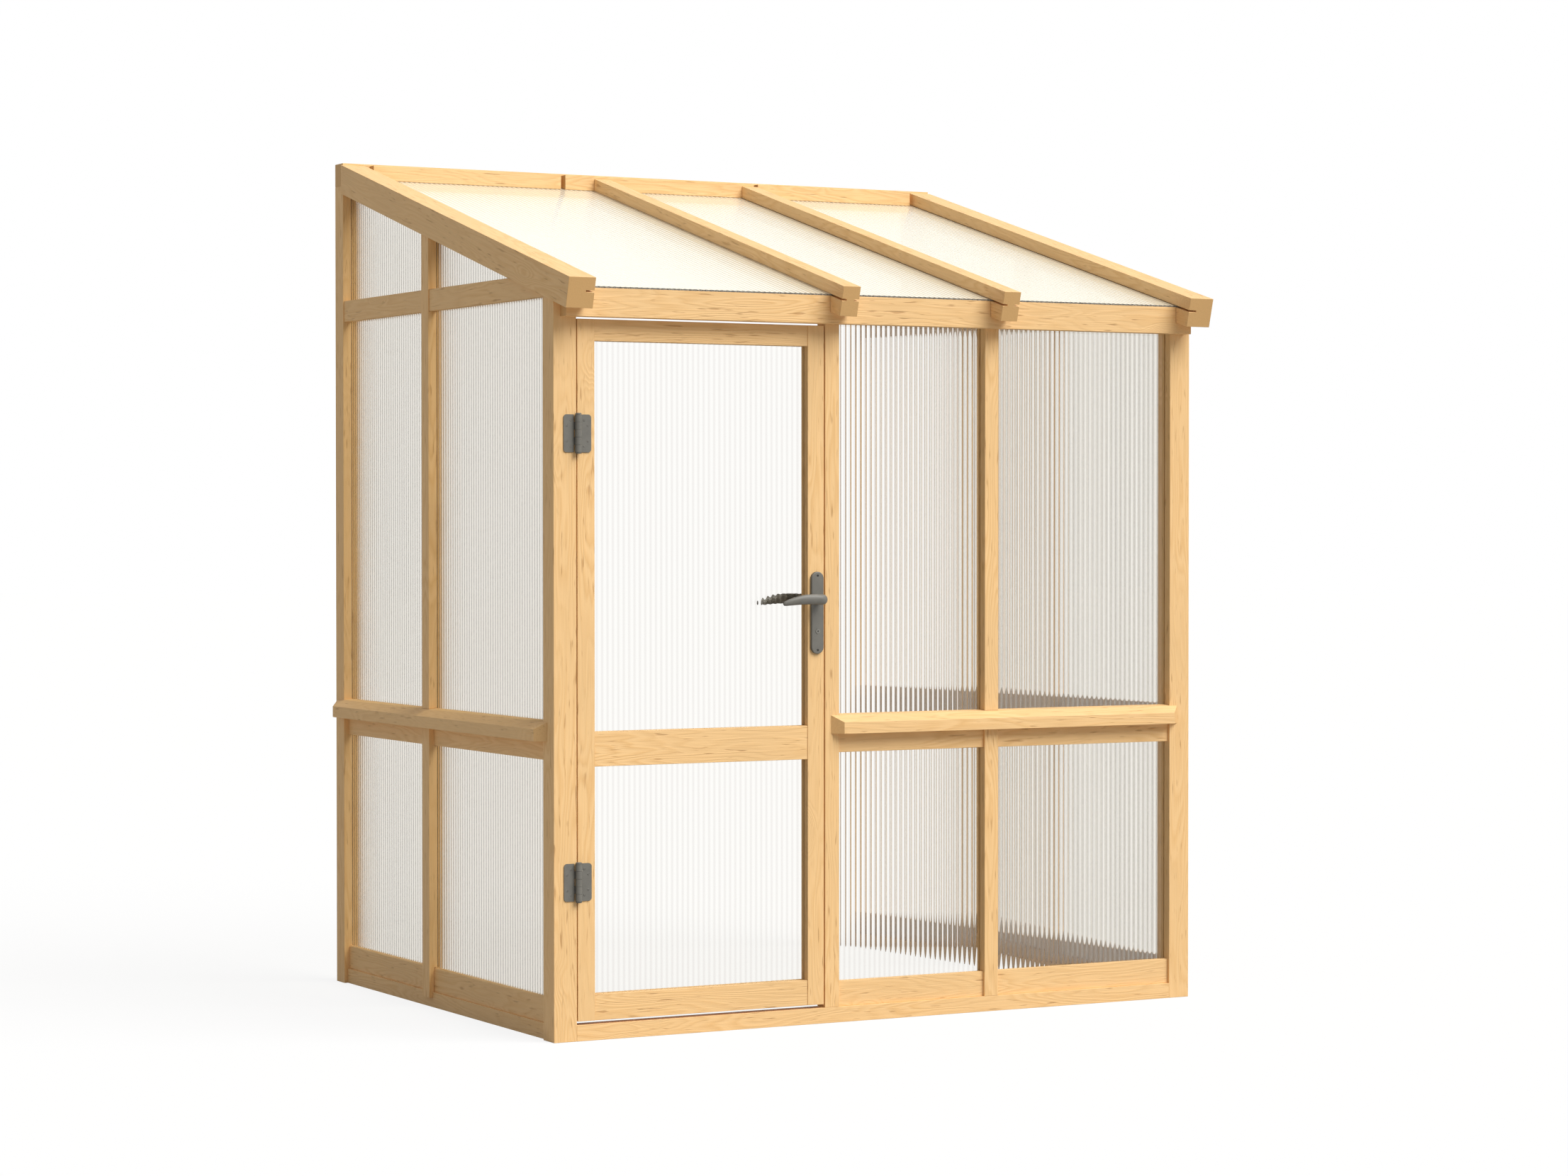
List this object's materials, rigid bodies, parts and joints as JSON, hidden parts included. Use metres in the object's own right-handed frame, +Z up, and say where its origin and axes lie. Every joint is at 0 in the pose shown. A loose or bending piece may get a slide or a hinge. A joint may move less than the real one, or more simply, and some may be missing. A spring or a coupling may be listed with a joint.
{
  "type": "lean-to greenhouse",
  "caption": "Lean-to greenhouse: pine frame with sloping roof and sills, glazed with ribbed plastic sheet, hinged door with a lever latch, open back that stands against a house wall.",
  "frame": {"origin": "on the floor, in the middle of the greenhouse's outline seen from above", "axes": "+Z up, +X to the right seen from the front, +Y back towards the house wall; the door is in the front, which faces -Y"},
  "size_m": [2.054, 1.622, 2.4116],
  "materials": {
    "pine": "planed softwood, matt",
    "ribbed_sheet": "clear twin-wall ribbed sheet",
    "grey_hardware": "satin grey powder coat",
    "bare_steel": "zinc plated steel"
  },
  "bodies": {
    "frame": {"base_rail_front": "pine", "base_rail_left": "pine", "base_rail_right": "pine", "post_front_left": "pine", "post_front_right": "pine", "post_door": "pine", "post_front_mid": "pine", "post_left_mid": "pine", "post_right_mid": "pine", "post_left_wall": "pine", "post_right_wall": "pine", "bottom_rail_front": "pine", "bottom_rail_left": "pine", "bottom_rail_right": "pine", "sill_rail_front": "pine", "sill_rail_left": "pine", "sill_rail_right": "pine", "upper_rail_left": "pine", "upper_rail_right": "pine", "sill_front": "pine", "sill_left": "pine", "sill_right": "pine", "header": "pine", "rafter_gable_left": "pine", "rafter_inner_left": "pine", "rafter_inner_right": "pine", "rafter_gable_right": "pine", "wall_plate": "pine", "wall_sheet_front_mid": "ribbed_sheet", "wall_sheet_front_right": "ribbed_sheet", "wall_sheet_left_front": "ribbed_sheet", "wall_sheet_left_back": "ribbed_sheet", "wall_sheet_right_front": "ribbed_sheet", "wall_sheet_right_back": "ribbed_sheet", "roof_sheet_left": "ribbed_sheet", "roof_sheet_mid": "ribbed_sheet", "roof_sheet_right": "ribbed_sheet", "hinge_lower_frame_leaf": "grey_hardware", "hinge_lower_pin": "grey_hardware", "hinge_upper_frame_leaf": "grey_hardware", "hinge_upper_pin": "grey_hardware", "strike_plate": "bare_steel"},
    "door": {"door_stile_hinge": "pine", "door_stile_lock": "pine", "door_rail_bottom": "pine", "door_rail_mid": "pine", "door_rail_top": "pine", "door_sheet_lower": "ribbed_sheet", "door_sheet_upper": "ribbed_sheet", "hinge_lower_door_leaf": "grey_hardware", "hinge_upper_door_leaf": "grey_hardware", "handle_plate_outer": "grey_hardware", "handle_plate_inner": "grey_hardware", "latch_case": "bare_steel", "lock_cylinder": "bare_steel"},
    "lever": {"lever_outer": "grey_hardware", "lever_inner": "grey_hardware", "spindle": "bare_steel"},
    "latch": {"latch_bolt": "bare_steel"}
  },
  "joints": [
    {"name": "door_swing", "type": "hinge", "parent": "frame", "child": "door", "pos_m": [-0.9326, -0.7103, 0.9695], "axis": [0, 0, -1], "range_deg": [0, 170]},
    {"name": "lever_turn", "type": "hinge", "parent": "door", "child": "lever", "pos_m": [-0.218, -0.68, 1.149], "axis": [0, -1, 0], "range_deg": [0, 40], "stiffness_Nm_per_rad": 1.5, "springref_deg": -22.92},
    {"name": "latch_slide", "type": "slide", "parent": "door", "child": "latch", "axis": [-1, 0, 0], "range_m": [0, 0.008]}
  ],
  "couplings": [
    {"joint": "latch_slide", "follows": "lever_turn", "m_per_rad": 0.0114}
  ]
}
